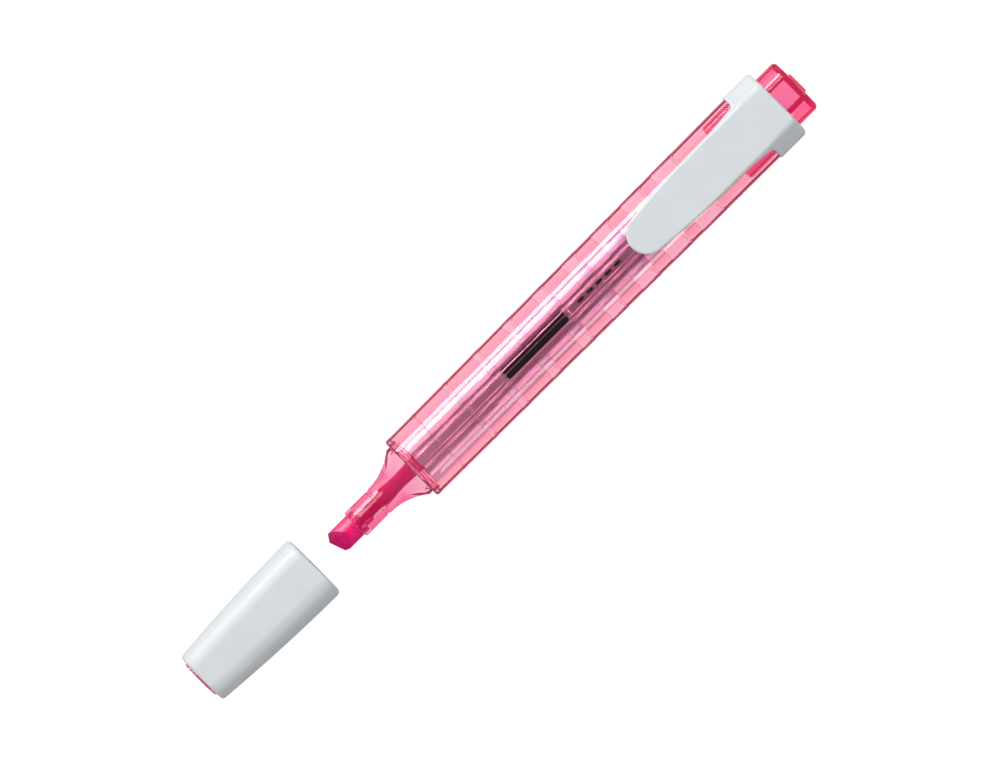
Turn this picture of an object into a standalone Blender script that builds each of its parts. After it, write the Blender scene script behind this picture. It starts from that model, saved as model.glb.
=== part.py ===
"""A chisel-tip highlighter with its cap off and lying in line in front of the nib.

The pen lies on its flat back with the clip up. +X runs along it from the cap to the tail, +Y is across it
and +Z is up. The origin is under the middle of the whole length, on the surface that the pen lies on.

Sizes are in millimetres. A station is a place along the pen, counted from the front shoulder of the barrel:
the nib and the cap are at negative stations, the clip and the tail at positive ones.
"""

import math

import bmesh
import bpy
from mathutils import Vector

MM = 0.001
RING_POINTS = 40
GAP = 0.1

# Barrel: a flattened tube with a broad front and back and slanted sides, wider towards the tail.
BARREL_LENGTH = 95.0
BARREL_FRONT_HALF_WIDTH = 7.0
BARREL_REAR_HALF_WIDTH = 7.55
BARREL_HALF_HEIGHT = 5.5
BARREL_WALL = 1.15
SHOULDER_ROUND = 0.45

# The corners of the eight-sided outline, as shares of its half width and half height.
FACE_SHARE = 0.66
SIDE_SHARE = 0.42
CRISP_CORNER = 0.7
SOFT_CORNER = 1.6

# Rings moulded into the barrel's bore. Each recess ends one pitch after the last one and is a little longer.
RECESS_COUNT = 9
RECESS_FIRST_END = 7.5
RECESS_PITCH = 8.57
RECESS_FIRST_LENGTH = 0.35
RECESS_GROWTH = 0.7
RECESS_DEPTH = 0.3

# Two long ribs on the front wall and two on the back wall hold the reservoir off the wall.
RIB_OFFSET = 1.35
RIB_WIDTH = 0.8
RIB_FRONT = 2.0
RIB_REAR = 82.0

# The shallow panel on the front of the barrel that carries the print.
PANEL_FRONT = 18.6
PANEL_REAR = 64.0
PANEL_WIDTH = 6.3
PANEL_ROUND = 1.5
PANEL_DEPTH = 0.12

# Front section: the flange that sits in the barrel, the flared cone and the neck round the nib.
SECTION_HALF_WIDTH = 5.75
SECTION_HALF_HEIGHT = 4.25
SECTION_REAR = 1.65
FLANGE_FRONT = -0.82
CONE_FRONT = -8.5
CONE_RADIUS = 3.05
CONE_FLARE = 2.2
NECK_FRONT = -14.7
NECK_REAR = -9.2
NECK_RADIUS = 2.98
NECK_GROOVE = 0.12
SNAP_FRONT = 0.5
SNAP_REAR = 1.2
SNAP_HEIGHT = 0.15

# Nib: a porous rod with a chisel end and a thinner shank that reaches into the reservoir.
NIB_RADIUS = 2.475
NIB_TIP = -20.57
NIB_STEP = -13.3
SHANK_RADIUS = 1.65
SHANK_REAR = 4.2
SHANK_POINT = 1.2

# The chisel: the edge slants across the tip, and the writing face climbs back from it to the top.
EDGE_START = Vector((NIB_TIP, 1.06, -1.4))
EDGE_END = Vector((-19.38, -2.38, -1.4))
FACE_TOP = Vector((-17.0, 0.0, NIB_RADIUS))
FACE_CORNER = Vector((-19.74, 2.23, -1.4))
EDGE_UNDERCUT = math.radians(25)

# Ink reservoir: a fibre bundle in a film sleeve.
RESERVOIR_FRONT = 1.9
RESERVOIR_REAR = 82.6
RESERVOIR_HALF_WIDTH = 5.1
RESERVOIR_HALF_HEIGHT = 4.0
RESERVOIR_SQUARENESS = 3.0
FILM_THICKNESS = 0.15
CORE_INSET = 0.2
WICK_HOLE_DEPTH = 3.4

# Tail plug: a hollow spigot in the barrel and a narrower head behind the collar, with two webs and a tab.
PLUG_FRONT = 83.4
PLUG_REAR = 101.8
PLUG_STEP = 95.0
PLUG_HALF_WIDTH = 5.9
PLUG_HALF_HEIGHT = 4.0
PLUG_WALL = 1.0
PLUG_END_WALL = 0.85
PLUG_ROUND = 0.9
WEB_OFFSET = 2.67
WEB_THICKNESS = 0.9
TAB_WIDTH = 4.4
TAB_HEIGHT = 3.4
TAB_PROUD = 0.5

# Collar: the ring on the barrel's rear end that carries the clip.
COLLAR_FRONT = 90.2
COLLAR_REAR = 96.9
COLLAR_HALF_WIDTH = 7.85
COLLAR_TOP = 8.0
COLLAR_BOTTOM = 5.7
COLLAR_FACE_SHARE = 0.6
COLLAR_ROUND = 0.9
COLLAR_LIP = 95.15
SEAT_STEP = 0.6

# Clip: a paddle that widens from its round tip to the collar.
CLIP_TIP = 58.15
CLIP_TIP_RADIUS = 3.95
CLIP_WAIST = 83.4
CLIP_WAIST_HALF_WIDTH = 5.05
CLIP_ROOT = 89.2
CLIP_ROOT_HALF_WIDTH = 5.5
CLIP_TIP_TOP = 7.55
CLIP_THICKNESS = 1.55
CLIP_PAD_DEPTH = 0.55
CLIP_PAD_STATION = 62.0
CLIP_PAD_LENGTH = 2.2
HINGE_GAP = 0.3

# Cap: it lies in front of the nib with its mouth towards it.
CAP_MOUTH = -25.5
CAP_LENGTH = 29.9
CAP_HALF_WIDTH = 6.97
CAP_HALF_HEIGHT = COLLAR_BOTTOM
CAP_END_HALF_WIDTH = 5.6
CAP_END_HALF_HEIGHT = 4.6
CAP_TAPER = 1.9
CAP_WALL = 1.0
CAP_END_WALL = 1.2
CAP_ROUND = 0.6
CAP_MOUTH_ROUND = 0.35

# The coloured plug in the cap's closed end, and the soft inner cap that seals on the neck.
END_PLUG_HALF_WIDTH = 4.0
END_PLUG_HALF_HEIGHT = 2.2
END_PLUG_PROUD = 0.5
END_PLUG_FLANGE = 0.7
END_PLUG_FLANGE_GROWTH = 0.5
SEAL_MOUTH_DEPTH = 11.0
SEAL_BASE_THICKNESS = 0.8
SEAL_WALL = 0.45
SEAL_INNER_RADIUS = 2.95
SEAL_MOUTH_RADIUS = 3.25
SEAL_LIP_RADIUS = 3.05
SEAL_LIP_LENGTH = 0.8

CAP_END = CAP_MOUTH - CAP_LENGTH
AXIS_HEIGHT = COLLAR_BOTTOM
TAIL_END = PLUG_REAR + TAB_PROUD
MIDDLE_STATION = (TAIL_END + CAP_END - END_PLUG_PROUD) / 2


def clear_scene():
    for old in list(bpy.data.objects):
        bpy.data.objects.remove(old)


def plastic(name, colour, roughness, transmission=0.0):
    """A Principled material: clear pink plastic has transmission, the rest is opaque."""
    made = bpy.data.materials.new(name)
    made.use_nodes = True
    shader = made.node_tree.nodes["Principled BSDF"]
    shader.inputs["Base Color"].default_value = (*colour, 1.0)
    shader.inputs["Roughness"].default_value = roughness
    shader.inputs["Metallic"].default_value = 0.0
    shader.inputs["Transmission Weight"].default_value = transmission
    return made


def place(station, y, z):
    """A point in metres, from a station along the pen and offsets from its axis in millimetres."""
    return Vector((station - MIDDLE_STATION, y, z + AXIS_HEIGHT)) * MM


def smooth_min(a, b, blend):
    """The lesser of two lengths, rounded off where they come within blend of each other."""
    near = max(blend - abs(a - b), 0.0) / blend
    return min(a, b) - near * near * blend / 4


def eight_sided_radius(angle, half_width, half_height, face_share, corner):
    """How far the eight-sided outline is from its centre in the direction of angle."""
    across, up = abs(math.cos(angle)), abs(math.sin(angle))
    face_edge, side_edge = face_share * half_width, SIDE_SHARE * half_height
    slant = Vector((half_height - side_edge, half_width - face_edge)).normalized()
    reach = slant.x * face_edge + slant.y * half_height
    radius = reach / (slant.x * across + slant.y * up)
    radius = smooth_min(radius, half_width / max(across, 1e-6), corner)
    return smooth_min(radius, half_height / max(up, 1e-6), corner)


def oval_radius(angle, half_width, half_height, squareness=2.0):
    """How far an oval is from its centre. A squareness of 2 is an ellipse, and more has fuller corners."""
    across, up = abs(math.cos(angle)) / half_width, abs(math.sin(angle)) / half_height
    return (across**squareness + up**squareness) ** (-1 / squareness)


def outline(station, radius_at):
    """Points round the axis at a station, as far out as radius_at says for each angle."""
    points = []
    for i in range(RING_POINTS):
        angle = math.tau * (i + 0.5) / RING_POINTS
        radius = radius_at(angle)
        points.append(place(station, radius * math.cos(angle), radius * math.sin(angle)))
    return points


def circle(station, radius):
    return outline(station, lambda angle: radius)


def oval(station, half_width, half_height, squareness=2.0):
    return outline(station, lambda angle: oval_radius(angle, half_width, half_height, squareness))


def ring(station, half_width, half_height, square=1.0, corner=CRISP_CORNER):
    """The eight-sided outline at a station, or where square is less than 1 a shape between it and an ellipse."""

    def radius_at(angle):
        ellipse = oval_radius(angle, half_width, half_height)
        sided = eight_sided_radius(angle, half_width, half_height, FACE_SHARE, corner)
        return ellipse + (sided - ellipse) * square

    return outline(station, radius_at)


def loft(name, rings, material, tube=False):
    """A closed solid through rings of points. A tube's last ring joins its first, and other solids have end faces."""
    mesh = bpy.data.meshes.new(name)
    shape = bmesh.new()
    loops = [[shape.verts.new(point) for point in points] for points in rings]
    count = len(loops[0])
    follow = loops[1:] + loops[:1] if tube else loops[1:]
    for near, far in zip(loops, follow):
        for i in range(count):
            j = (i + 1) % count
            shape.faces.new((near[i], near[j], far[j], far[i]))
    if not tube:
        shape.faces.new(loops[0])
        shape.faces.new(loops[-1])
    bmesh.ops.recalc_face_normals(shape, faces=shape.faces)
    shape.to_mesh(mesh)
    shape.free()
    mesh.shade_smooth()
    mesh.set_sharp_from_angle(angle=math.radians(35))
    mesh.materials.append(material)
    made = bpy.data.objects.new(name, mesh)
    bpy.context.scene.collection.objects.link(made)
    return made


def as_helper(made):
    """Marks a solid that is only there to cut or to join another."""
    made.hide_render = True
    made.display_type = "WIRE"
    return made


def box_between(name, low, high, round_edges=0.0):
    """A helper box between two corners given as stations and offsets."""
    shape = bmesh.new()
    bmesh.ops.create_cube(shape, size=1.0)
    low, high = place(*low), place(*high)
    for vert in shape.verts:
        vert.co = Vector(low[k] + (vert.co[k] + 0.5) * (high[k] - low[k]) for k in range(3))
    if round_edges:
        upright = [e for e in shape.edges if abs((e.verts[0].co - e.verts[1].co).z) > 1e-6]
        bmesh.ops.bevel(shape, geom=upright, offset=round_edges * MM, segments=4, affect="EDGES")
    mesh = bpy.data.meshes.new(name)
    shape.to_mesh(mesh)
    shape.free()
    made = bpy.data.objects.new(name, mesh)
    bpy.context.scene.collection.objects.link(made)
    return as_helper(made)


def combine(body, helper, operation):
    modifier = body.modifiers.new(helper.name, "BOOLEAN")
    modifier.operation = operation
    modifier.object = helper


def barrel_half_width(station):
    share = station / COLLAR_FRONT
    return BARREL_FRONT_HALF_WIDTH + (BARREL_REAR_HALF_WIDTH - BARREL_FRONT_HALF_WIDTH) * share


def barrel_ring(station, inset=0.0):
    return ring(station, barrel_half_width(station) - inset, BARREL_HALF_HEIGHT - inset)


def bore_ring(station, deeper=0.0):
    return barrel_ring(station, BARREL_WALL - deeper)


def recess_rings(front, rear, depth):
    """A square-cornered recess in the bore between two stations."""
    return [bore_ring(front), bore_ring(front, depth), bore_ring(rear, depth), bore_ring(rear)]


def barrel(material):
    outside = [
        barrel_ring(0.0, SHOULDER_ROUND),
        barrel_ring(0.3 * SHOULDER_ROUND, 0.3 * SHOULDER_ROUND),
        barrel_ring(SHOULDER_ROUND),
        barrel_ring(COLLAR_FRONT - GAP),
        barrel_ring(COLLAR_FRONT - GAP, SEAT_STEP),
        barrel_ring(BARREL_LENGTH, SEAT_STEP),
    ]
    inside = [bore_ring(0.0)]
    inside += recess_rings(SNAP_FRONT - GAP, SNAP_REAR + GAP, SNAP_HEIGHT + GAP)
    for i in range(RECESS_COUNT):
        rear = RECESS_FIRST_END + i * RECESS_PITCH
        front = rear - RECESS_FIRST_LENGTH - i * RECESS_GROWTH
        inside += recess_rings(front, rear, RECESS_DEPTH)
    inside.append(bore_ring(BARREL_LENGTH))
    made = loft("barrel", outside + inside[::-1], material, tube=True)

    wall_inner = BARREL_HALF_HEIGHT - BARREL_WALL
    for side_name, side in (("left", 1), ("right", -1)):
        for face_name, face in (("front", 1), ("back", -1)):
            middle = side * RIB_OFFSET
            heights = sorted((face * (RESERVOIR_HALF_HEIGHT + GAP / 2), face * (wall_inner + BARREL_WALL / 2)))
            rib = box_between(
                f"rib_{face_name}_{side_name}",
                (RIB_FRONT, middle - RIB_WIDTH / 2, heights[0]),
                (RIB_REAR, middle + RIB_WIDTH / 2, heights[1]),
            )
            combine(made, rib, "UNION")

    panel = box_between(
        "panel_cutter",
        (PANEL_FRONT, -PANEL_WIDTH / 2, BARREL_HALF_HEIGHT - PANEL_DEPTH),
        (PANEL_REAR, PANEL_WIDTH / 2, BARREL_HALF_HEIGHT + 1),
        PANEL_ROUND,
    )
    combine(made, panel, "DIFFERENCE")
    return made


def cone_ring(station):
    """The outside of the flared cone: round at the neck and eight-sided at the flange."""
    share = (station - CONE_FRONT) / (FLANGE_FRONT - CONE_FRONT)
    flare = share**CONE_FLARE
    half_width = CONE_RADIUS + (SECTION_HALF_WIDTH - CONE_RADIUS) * flare
    half_height = CONE_RADIUS + (SECTION_HALF_HEIGHT - CONE_RADIUS) * flare
    return ring(station, half_width, half_height, square=share)


def section_ring(station, inset=0.0):
    return ring(station, SECTION_HALF_WIDTH - inset, SECTION_HALF_HEIGHT - inset)


def front_section(material):
    cone_steps = 8
    neck_round = 0.25
    flange_wall = 0.9
    cone_bore_front = -4.4
    cone_bore_rear = -0.6
    shank_bore = SHANK_RADIUS + 0.2
    nib_bore = NIB_RADIUS + 0.1
    outside = [
        circle(NECK_FRONT, NECK_RADIUS - neck_round),
        circle(NECK_FRONT + neck_round, NECK_RADIUS),
        circle(NECK_REAR, NECK_RADIUS),
        circle(NECK_REAR + GAP, NECK_RADIUS - NECK_GROOVE),
        circle(CONE_FRONT - GAP, NECK_RADIUS - NECK_GROOVE),
    ]
    for i in range(cone_steps + 1):
        outside.append(cone_ring(CONE_FRONT + (FLANGE_FRONT - CONE_FRONT) * i / cone_steps))
    outside += [
        section_ring(SNAP_FRONT),
        section_ring(SNAP_FRONT + 0.2, -SNAP_HEIGHT),
        section_ring(SNAP_REAR - 0.2, -SNAP_HEIGHT),
        section_ring(SNAP_REAR),
        section_ring(SECTION_REAR),
    ]
    inside = [
        circle(NECK_FRONT, nib_bore),
        circle(NIB_STEP + GAP, nib_bore),
        circle(NIB_STEP + GAP, shank_bore),
        circle(cone_bore_front, shank_bore),
        section_ring(cone_bore_rear, flange_wall),
        section_ring(SECTION_REAR, flange_wall),
    ]
    return loft("front_section", outside + inside[::-1], material, tube=True)


def slice_off(shape, point, normal):
    """Cuts away what lies on the normal's side of the plane and closes the cut."""
    geometry = shape.verts[:] + shape.edges[:] + shape.faces[:]
    cut = bmesh.ops.bisect_plane(shape, geom=geometry, plane_co=point, plane_no=normal, clear_outer=True)
    rim = [edge for edge in cut["geom_cut"] if isinstance(edge, bmesh.types.BMEdge)]
    bmesh.ops.contextual_create(shape, geom=rim)


def nib(material):
    made = loft(
        "nib",
        [
            circle(NIB_TIP - 1, NIB_RADIUS),
            circle(NIB_STEP, NIB_RADIUS),
            circle(NIB_STEP, SHANK_RADIUS),
            circle(SHANK_REAR - SHANK_POINT, SHANK_RADIUS),
            circle(SHANK_REAR, SHANK_RADIUS / 3),
        ],
        material,
    )
    edge = (EDGE_END - EDGE_START).normalized()
    forward = Vector((edge.y, -edge.x, 0))
    climb = edge.cross(FACE_TOP - EDGE_START).normalized()
    writing_face = climb if climb.z > 0 else -climb
    undercut = forward * math.cos(EDGE_UNDERCUT) + Vector((0, 0, -math.sin(EDGE_UNDERCUT)))
    corner_edge = FACE_CORNER - EDGE_START
    corner = Vector((-corner_edge.y, corner_edge.x, 0)).normalized()
    shape = bmesh.new()
    shape.from_mesh(made.data)
    slice_off(shape, place(*FACE_TOP), writing_face)
    slice_off(shape, place(*EDGE_START), undercut)
    slice_off(shape, place(*EDGE_START), corner)
    bmesh.ops.recalc_face_normals(shape, faces=shape.faces)
    shape.to_mesh(made.data)
    shape.free()
    made.data.set_sharp_from_angle(angle=math.radians(35))
    return made


def reservoir_ring(station, inset=0.0):
    return oval(station, RESERVOIR_HALF_WIDTH - inset, RESERVOIR_HALF_HEIGHT - inset, RESERVOIR_SQUARENESS)


def ink_reservoir(material):
    """The fibre bundle, with the hole that takes the nib's shank."""
    hole_radius = SHANK_RADIUS + GAP / 2
    return loft(
        "ink_reservoir",
        [
            circle(RESERVOIR_FRONT + WICK_HOLE_DEPTH, hole_radius),
            circle(RESERVOIR_FRONT + GAP, hole_radius),
            reservoir_ring(RESERVOIR_FRONT + GAP, CORE_INSET),
            reservoir_ring(RESERVOIR_REAR - GAP, CORE_INSET),
        ],
        material,
    )


def reservoir_film(material):
    return loft(
        "reservoir_film",
        [
            reservoir_ring(RESERVOIR_FRONT),
            reservoir_ring(RESERVOIR_REAR),
            reservoir_ring(RESERVOIR_REAR, FILM_THICKNESS),
            reservoir_ring(RESERVOIR_FRONT, FILM_THICKNESS),
        ],
        material,
        tube=True,
    )


def tail_plug(material):
    spigot_width = barrel_half_width(PLUG_FRONT) - BARREL_WALL - GAP
    spigot_height = BARREL_HALF_HEIGHT - BARREL_WALL - GAP
    lead_in = 0.4

    def spigot(station, inset=0.0):
        return ring(station, spigot_width - inset, spigot_height - inset)

    def head(station, inset=0.0):
        return ring(station, PLUG_HALF_WIDTH - inset, PLUG_HALF_HEIGHT - inset)

    rings = [
        head(PLUG_REAR - PLUG_END_WALL, PLUG_WALL),
        head(PLUG_STEP - PLUG_WALL, PLUG_WALL),
        spigot(PLUG_STEP - PLUG_WALL, PLUG_WALL),
        spigot(PLUG_FRONT, PLUG_WALL),
        spigot(PLUG_FRONT, lead_in),
        spigot(PLUG_FRONT + lead_in),
        spigot(PLUG_STEP),
        head(PLUG_STEP),
        head(PLUG_REAR - PLUG_ROUND),
        head(PLUG_REAR - 0.3 * PLUG_ROUND, 0.3 * PLUG_ROUND),
        head(PLUG_REAR, PLUG_ROUND),
    ]
    made = loft("tail_plug", rings, material)
    web_half_height = PLUG_HALF_HEIGHT - PLUG_WALL / 2
    for name, side in (("web_left", 1), ("web_right", -1)):
        web = box_between(
            name,
            (PLUG_FRONT + 1, side * WEB_OFFSET - WEB_THICKNESS / 2, -web_half_height),
            (PLUG_REAR - PLUG_END_WALL / 2, side * WEB_OFFSET + WEB_THICKNESS / 2, web_half_height),
        )
        combine(made, web, "UNION")
    tab = box_between(
        "tail_tab",
        (PLUG_REAR - PLUG_END_WALL / 2, -TAB_WIDTH / 2, -TAB_HEIGHT / 2),
        (TAIL_END, TAB_WIDTH / 2, TAB_HEIGHT / 2),
    )
    combine(made, tab, "UNION")
    return made


def collar_ring(station, inset=0.0):
    """The collar's outline. Its front is higher than its back, and its flat face is narrower."""

    def radius_at(angle):
        raised = math.sin(angle) > 0
        height = COLLAR_TOP if raised else COLLAR_BOTTOM
        face_share = COLLAR_FACE_SHARE if raised else FACE_SHARE
        return eight_sided_radius(angle, COLLAR_HALF_WIDTH - inset, height - inset, face_share, CRISP_CORNER)

    return outline(station, radius_at)


def clip_collar(material):
    """The ring and its rear lip. Its front top edge is the root that the clip bends from."""
    front_round = 0.15
    outside = [
        collar_ring(COLLAR_FRONT, front_round),
        collar_ring(COLLAR_FRONT + front_round),
        collar_ring(COLLAR_REAR - COLLAR_ROUND),
        collar_ring(COLLAR_REAR - 0.3 * COLLAR_ROUND, 0.3 * COLLAR_ROUND),
        collar_ring(COLLAR_REAR, COLLAR_ROUND),
    ]
    inside = [
        barrel_ring(COLLAR_FRONT, SEAT_STEP - GAP),
        barrel_ring(COLLAR_LIP, SEAT_STEP - GAP),
        ring(COLLAR_LIP, PLUG_HALF_WIDTH + GAP, PLUG_HALF_HEIGHT + GAP),
        ring(COLLAR_REAR, PLUG_HALF_WIDTH + GAP, PLUG_HALF_HEIGHT + GAP),
    ]
    made = loft("clip_collar", outside + inside[::-1], material, tube=True)
    root_rings = [
        clip_ring(CLIP_ROOT + HINGE_GAP, CLIP_ROOT_HALF_WIDTH),
        clip_ring(COLLAR_FRONT + 1, CLIP_ROOT_HALF_WIDTH),
    ]
    root = as_helper(loft("clip_root", root_rings, material))
    combine(made, root, "UNION")
    return made


def clip_half_width(station):
    """Half the clip's width: a round tip, a slow swell to the waist and a faster one to the root."""
    from_tip = station - CLIP_TIP
    if from_tip < CLIP_TIP_RADIUS:
        return math.sqrt(max(2 * CLIP_TIP_RADIUS * from_tip - from_tip**2, 0.0))
    if station < CLIP_WAIST:
        share = (from_tip - CLIP_TIP_RADIUS) / (CLIP_WAIST - CLIP_TIP - CLIP_TIP_RADIUS)
        return CLIP_TIP_RADIUS + (CLIP_WAIST_HALF_WIDTH - CLIP_TIP_RADIUS) * share * (2 - share)
    share = (station - CLIP_WAIST) / (CLIP_ROOT - CLIP_WAIST)
    return CLIP_WAIST_HALF_WIDTH + (CLIP_ROOT_HALF_WIDTH - CLIP_WAIST_HALF_WIDTH) * share**2


def clip_top(station):
    share = min((station - CLIP_TIP) / (CLIP_ROOT - CLIP_TIP), 1.0)
    return CLIP_TIP_TOP + (COLLAR_TOP - GAP / 2 - CLIP_TIP_TOP) * share * (2 - share)


def clip_bottom(station):
    """The underside, with a round pad near the tip that presses on the pocket."""
    away = (station - CLIP_PAD_STATION) / CLIP_PAD_LENGTH
    return clip_top(station) - CLIP_THICKNESS - CLIP_PAD_DEPTH * math.exp(-away * away)


def slanted_face_height(y):
    """How high the collar's slanted face is at an offset from the axis."""
    face_edge = COLLAR_FACE_SHARE * COLLAR_HALF_WIDTH
    drop = (1 - SIDE_SHARE) * COLLAR_TOP / (COLLAR_HALF_WIDTH - face_edge)
    return COLLAR_TOP - (y - face_edge) * drop


def clip_ring(station, half_width):
    """A flat oblong as wide as the clip, with rounded upper edges that stay under the collar's slanted faces."""
    top, bottom = clip_top(station), clip_bottom(station)
    edge = min(0.7, half_width * 0.5)
    inner_edge = min(half_width - edge, COLLAR_FACE_SHARE * COLLAR_HALF_WIDTH)
    middle = half_width - 0.3 * edge
    right = [
        (half_width - 0.2 * edge, bottom),
        (half_width, max(min(top - edge, slanted_face_height(half_width)), bottom + GAP)),
        (middle, min(top - 0.3 * edge, slanted_face_height(middle))),
        (inner_edge, top),
    ]
    left = [(-y, z) for y, z in reversed(right)]
    return [place(station, y, z) for y, z in right + left]


def clip_blade(material):
    tip_steps = 6
    swell_steps = 10
    rings = []
    for i in range(1, tip_steps + 1):
        station = CLIP_TIP + CLIP_TIP_RADIUS * (1 - math.cos(math.pi / 2 * i / tip_steps))
        rings.append(clip_ring(station, clip_half_width(station)))
    swell_start = CLIP_TIP + CLIP_TIP_RADIUS
    for i in range(1, swell_steps + 1):
        station = swell_start + (CLIP_ROOT - swell_start) * i / swell_steps
        rings.append(clip_ring(station, clip_half_width(station)))
    return loft("clip_blade", rings, material)


def cap_size(station):
    """Half width and half height of the cap's outside, which tapers in a curve to the closed end."""
    share = max(CAP_MOUTH - station, 0.0) / CAP_LENGTH
    taper = share**CAP_TAPER
    half_width = CAP_HALF_WIDTH + (CAP_END_HALF_WIDTH - CAP_HALF_WIDTH) * taper
    half_height = CAP_HALF_HEIGHT + (CAP_END_HALF_HEIGHT - CAP_HALF_HEIGHT) * taper
    return half_width, half_height


def cap_ring(station, inset=0.0):
    half_width, half_height = cap_size(station)
    return ring(station, half_width - inset, half_height - inset, corner=SOFT_CORNER)


def end_plug_ring(station, growth=0.0):
    return ring(station, END_PLUG_HALF_WIDTH + growth, END_PLUG_HALF_HEIGHT + growth, corner=SOFT_CORNER)


def cap_shell(material):
    taper_steps = 6
    first, last = CAP_MOUTH - CAP_MOUTH_ROUND, CAP_END + CAP_ROUND
    outside = [cap_ring(CAP_MOUTH, CAP_MOUTH_ROUND)]
    for i in range(taper_steps + 1):
        outside.append(cap_ring(first + (last - first) * i / taper_steps))
    outside += [
        cap_ring(CAP_END + 0.3 * CAP_ROUND, 0.3 * CAP_ROUND),
        cap_ring(CAP_END, CAP_ROUND),
        end_plug_ring(CAP_END, GAP),
    ]
    inner_end = CAP_END + CAP_END_WALL
    inside = [end_plug_ring(inner_end, GAP)]
    for i in range(taper_steps + 1):
        inside.append(cap_ring(inner_end + (CAP_MOUTH - inner_end) * i / taper_steps, CAP_WALL))
    return loft("cap_shell", outside + inside, material, tube=True)


def cap_end_plug(material):
    """The button seen in the closed end, with the flange inside the cap that holds it."""
    inner_end = CAP_END + CAP_END_WALL
    face_round = 0.25
    return loft(
        "cap_end_plug",
        [
            end_plug_ring(CAP_END - END_PLUG_PROUD, -2 * face_round),
            end_plug_ring(CAP_END - END_PLUG_PROUD + face_round),
            end_plug_ring(inner_end + GAP),
            end_plug_ring(inner_end + GAP, END_PLUG_FLANGE_GROWTH),
            end_plug_ring(inner_end + END_PLUG_FLANGE, END_PLUG_FLANGE_GROWTH),
        ],
        material,
    )


def cap_inner_seal(material):
    """The soft inner cap. Its lip closes round the neck, so that the nib doesn't dry."""
    base = CAP_END + CAP_END_WALL + END_PLUG_FLANGE + GAP
    mouth = CAP_MOUTH - SEAL_MOUTH_DEPTH
    floor = base + SEAL_BASE_THICKNESS
    foot_growth = 0.7
    return loft(
        "cap_inner_seal",
        [
            circle(floor, SEAL_INNER_RADIUS),
            circle(mouth - 2 * SEAL_LIP_LENGTH, SEAL_MOUTH_RADIUS),
            circle(mouth - SEAL_LIP_LENGTH, SEAL_LIP_RADIUS),
            circle(mouth - 0.3, SEAL_LIP_RADIUS),
            circle(mouth, SEAL_MOUTH_RADIUS),
            circle(mouth, SEAL_MOUTH_RADIUS + SEAL_WALL),
            circle(floor, SEAL_INNER_RADIUS + SEAL_WALL),
            ring(floor, SEAL_INNER_RADIUS + SEAL_WALL + foot_growth, SEAL_INNER_RADIUS + SEAL_WALL, square=0.0),
            ring(base, SEAL_INNER_RADIUS + SEAL_WALL + foot_growth, SEAL_INNER_RADIUS + SEAL_WALL, square=0.0),
        ],
        material,
    )


def main():
    clear_scene()
    clear_pink = plastic("clear_pink", (0.95, 0.35, 0.5), 0.2, 0.7)
    deep_pink = plastic("deep_pink", (0.85, 0.08, 0.3), 0.25, 0.5)
    pale_grey = plastic("pale_grey", (0.82, 0.85, 0.86), 0.4)
    ink = plastic("ink_soaked_fibre", (0.75, 0.0, 0.2), 0.8)
    film = plastic("film", (0.55, 0.5, 0.6), 0.3)
    soft_seal = plastic("soft_seal", (0.95, 0.6, 0.7), 0.5)

    barrel(clear_pink)
    front_section(clear_pink)
    nib(ink)
    ink_reservoir(ink)
    reservoir_film(film)
    tail_plug(deep_pink)
    clip_collar(pale_grey)
    clip_blade(pale_grey)
    cap_shell(pale_grey)
    cap_end_plug(deep_pink)
    cap_inner_seal(soft_seal)


main()
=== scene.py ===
"""The looks of a chisel-tip highlighter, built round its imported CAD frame.

The pen lies on its back with the clip up and its cap off, in line in front of the nib. Sizes are in
millimetres. A station is a place along the pen, counted from the barrel's front shoulder: the nib and the
cap are at negative stations, the clip and the tail at positive ones. y and z are offsets from the pen's axis.
"""

import math

import bmesh
import bpy
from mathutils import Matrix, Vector


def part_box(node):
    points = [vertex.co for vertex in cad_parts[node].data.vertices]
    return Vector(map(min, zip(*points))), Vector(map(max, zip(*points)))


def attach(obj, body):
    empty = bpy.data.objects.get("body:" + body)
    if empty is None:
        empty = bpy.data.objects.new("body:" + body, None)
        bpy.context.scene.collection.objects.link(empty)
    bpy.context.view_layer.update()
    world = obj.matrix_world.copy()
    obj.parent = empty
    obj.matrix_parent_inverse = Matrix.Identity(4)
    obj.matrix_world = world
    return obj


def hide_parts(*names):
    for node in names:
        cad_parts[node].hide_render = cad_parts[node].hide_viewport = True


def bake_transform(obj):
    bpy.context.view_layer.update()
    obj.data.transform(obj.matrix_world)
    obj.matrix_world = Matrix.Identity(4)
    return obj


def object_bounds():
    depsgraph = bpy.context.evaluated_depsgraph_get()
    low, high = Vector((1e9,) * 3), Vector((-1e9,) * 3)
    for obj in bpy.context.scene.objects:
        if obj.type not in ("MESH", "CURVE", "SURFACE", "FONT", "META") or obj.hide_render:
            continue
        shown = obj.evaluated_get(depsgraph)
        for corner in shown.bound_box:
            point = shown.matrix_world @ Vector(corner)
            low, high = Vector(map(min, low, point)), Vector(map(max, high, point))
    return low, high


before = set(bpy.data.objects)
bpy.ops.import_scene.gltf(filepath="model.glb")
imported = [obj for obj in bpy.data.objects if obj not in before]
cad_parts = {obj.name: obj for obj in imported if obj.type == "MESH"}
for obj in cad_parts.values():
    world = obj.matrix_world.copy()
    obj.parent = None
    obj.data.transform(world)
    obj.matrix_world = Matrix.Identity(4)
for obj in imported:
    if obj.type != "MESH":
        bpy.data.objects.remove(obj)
cad_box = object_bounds()

MM = 0.001
RING_POINTS = 240
SHARP_ANGLE = math.radians(35)
SHOULDER_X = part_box("barrel")[0].x
AXIS_Z = (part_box("barrel")[0].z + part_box("barrel")[1].z) / 2


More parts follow.
